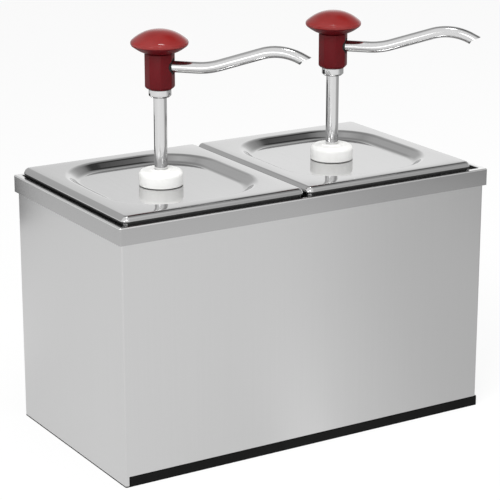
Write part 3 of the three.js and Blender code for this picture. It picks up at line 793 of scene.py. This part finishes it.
def levels_ramp(nodes, levels):
    """A ramp of grey levels at rising positions."""
    ramp = nodes.new("ShaderNodeValToRGB")
    for _ in levels[2:]:
        ramp.color_ramp.elements.new(0.5)
    for spot, (place, level) in zip(ramp.color_ramp.elements, levels):
        spot.position = place
        spot.color = (level, level, level, 1)
    return ramp


def room_light(nodes, links):
    """What gloss mirrors: a white room with a dark patch above the object and two grey ones."""
    place = nodes.new("ShaderNodeTexCoord")
    total = None
    for axis, levels in SHADES:
        turn = nodes.new("ShaderNodeVectorMath")
        turn.operation = "DOT_PRODUCT"
        turn.inputs[1].default_value = Vector(axis).normalized()
        ramp = levels_ramp(nodes, sorted((math.cos(math.radians(a)), level) for a, level in levels))
        links.new(place.outputs["Generated"], turn.inputs[0])
        links.new(turn.outputs["Value"], ramp.inputs[0])
        if total is None:
            total = ramp.outputs["Color"]
            continue
        product = nodes.new("ShaderNodeVectorMath")
        product.operation = "MULTIPLY"
        links.new(total, product.inputs[0])
        links.new(ramp.outputs["Color"], product.inputs[1])
        total = product.outputs["Vector"]
    return total


def studio_world():
    world = bpy.data.worlds.new("studio")
    bpy.context.scene.world = world
    world.use_nodes = True
    nodes, links = world.node_tree.nodes, world.node_tree.links
    nodes.clear()
    output = nodes.new("ShaderNodeOutputWorld")
    first, second = nodes.new("ShaderNodeMixShader"), nodes.new("ShaderNodeMixShader")
    plain, shown, room = (nodes.new("ShaderNodeBackground") for _ in range(3))
    path = nodes.new("ShaderNodeLightPath")
    plain.inputs["Strength"].default_value = DIFFUSE_LEVEL
    shown.inputs["Strength"].default_value = 1.0
    for light in (plain, shown):
        light.inputs["Color"].default_value = (1, 1, 1, 1)
    links.new(room_light(nodes, links), room.inputs["Color"])
    links.new(lit_by_path(nodes, links), first.inputs[0])
    links.new(plain.outputs[0], first.inputs[1])
    links.new(shown.outputs[0], first.inputs[2])
    links.new(path.outputs["Is Glossy Ray"], second.inputs[0])
    links.new(first.outputs[0], second.inputs[1])
    links.new(room.outputs[0], second.inputs[2])
    links.new(second.outputs[0], output.inputs["Surface"])


def floor_level(nodes, links):
    """The floor's level: 1 to the camera, and for gloss it falls off to one side."""
    place = nodes.new("ShaderNodeTexCoord")
    across = nodes.new("ShaderNodeVectorMath")
    reach = nodes.new("ShaderNodeMapRange")
    path = nodes.new("ShaderNodeLightPath")
    mix = nodes.new("ShaderNodeMix")
    first, last = FLOOR_SHADE[0][0], FLOOR_SHADE[-1][0]
    reach.inputs["From Min"].default_value = first * MM
    reach.inputs["From Max"].default_value = last * MM
    shade = levels_ramp(nodes, [((x - first) / (last - first), level) for x, level in FLOOR_SHADE])
    # A Mix node's plain numbers are its inputs 2 and 3
    mix.inputs[2].default_value = 1.0
    across.operation = "DOT_PRODUCT"
    across.inputs[1].default_value = (*FLOOR_FALL, 0)
    links.new(place.outputs["Object"], across.inputs[0])
    links.new(across.outputs["Value"], reach.inputs["Value"])
    links.new(reach.outputs["Result"], shade.inputs[0])
    links.new(path.outputs["Is Glossy Ray"], mix.inputs[0])
    links.new(shade.outputs["Color"], mix.inputs[3])
    return mix.outputs[0]


def studio_floor():
    reach = FLOOR_REACH
    points = [(-reach, -reach, 0), (reach, -reach, 0), (reach, reach, 0), (-reach, reach, 0)]
    floor = shaped("floor", (points, [(0, 1, 2, 3)]))
    material = bpy.data.materials.new("pale_floor")
    material.use_nodes = True
    nodes, links = material.node_tree.nodes, material.node_tree.links
    nodes.clear()
    output = nodes.new("ShaderNodeOutputMaterial")
    mix = nodes.new("ShaderNodeMixShader")
    matt = nodes.new("ShaderNodeBsdfDiffuse")
    glow = nodes.new("ShaderNodeEmission")
    share = nodes.new("ShaderNodeMath")
    matt.inputs["Color"].default_value = (FLOOR_GREY, FLOOR_GREY, FLOOR_GREY, 1)
    glow.inputs["Color"].default_value = (1, 1, 1, 1)
    links.new(floor_level(nodes, links), glow.inputs["Strength"])
    share.operation = "MULTIPLY"
    share.inputs[1].default_value = FLOOR_GLOW
    links.new(lit_by_path(nodes, links), share.inputs[0])
    links.new(share.outputs[0], mix.inputs[0])
    links.new(matt.outputs[0], mix.inputs[1])
    links.new(glow.outputs[0], mix.inputs[2])
    links.new(mix.outputs[0], output.inputs["Surface"])
    floor.data.materials.append(material)


def studio_flag(name, spot, level):
    """A standing card, which only gloss sees: it draws the rods' dark edges."""
    left, right, low, high = spot
    points = [(*left, low[0]), (*right, low[1]), (*right, high), (*left, high)]
    flag = shaped(name, (points, [(0, 1, 2, 3)]))
    material, shader = new_material(f"{name}_cloth")
    shader.inputs["Base Color"].default_value = (level, level, level, 1)
    shader.inputs["Roughness"].default_value = 1.0
    shader.inputs["Specular IOR Level"].default_value = 0.0
    flag.data.materials.append(material)
    flag.visible_camera = flag.visible_diffuse = flag.visible_shadow = False


def softbox(name, place, target, size, power, mirrored):
    """A rectangular lamp aimed at its target."""
    light = bpy.data.lights.new(name, "AREA")
    light.shape = "RECTANGLE"
    light.size, light.size_y = size[0] * MM, size[1] * MM
    light.energy = power
    lamp = bpy.data.objects.new(name, light)
    lamp.location = Vector(place) * MM
    aim = (Vector(target) - Vector(place)).to_track_quat("-Z", "Y")
    lamp.rotation_mode = "QUATERNION"
    lamp.rotation_quaternion = aim
    lamp.visible_glossy = mirrored
    bpy.context.scene.collection.objects.link(lamp)


def studio_camera():
    camera = bpy.data.cameras.new("camera")
    camera.sensor_width = CAMERA_SENSOR
    camera.lens = CAMERA_LENS
    camera.clip_start, camera.clip_end = CAMERA_CLIP
    eye = bpy.data.objects.new("camera", camera)
    tilt = Matrix.Rotation(math.pi / 2 - CAMERA_PITCH, 4, "X")
    turn = Matrix.Rotation(-CAMERA_YAW, 4, "Z") @ tilt @ Matrix.Rotation(CAMERA_ROLL, 4, "Z")
    eye.matrix_world = Matrix.Translation(Vector(CAMERA_PLACE) * MM) @ turn
    bpy.context.scene.collection.objects.link(eye)
    bpy.context.scene.camera = eye


studio_camera()
housing_walls()
base_moulding()
frame_band()
for station in ("left", "right"):
    rod_low, rod_high = cad(f"{station}_rod")
    for piece in STATION:
        piece(station, (rod_low.x + rod_high.x) / 2)
dress_carried()
studio_world()
studio_floor()
studio_flag("dark_flag", DARK_FLAG, FLAG_GREY)
for lamp_name, lamp in LAMPS.items():
    softbox(lamp_name, *lamp)
bpy.context.scene.view_settings.view_transform = "Standard"
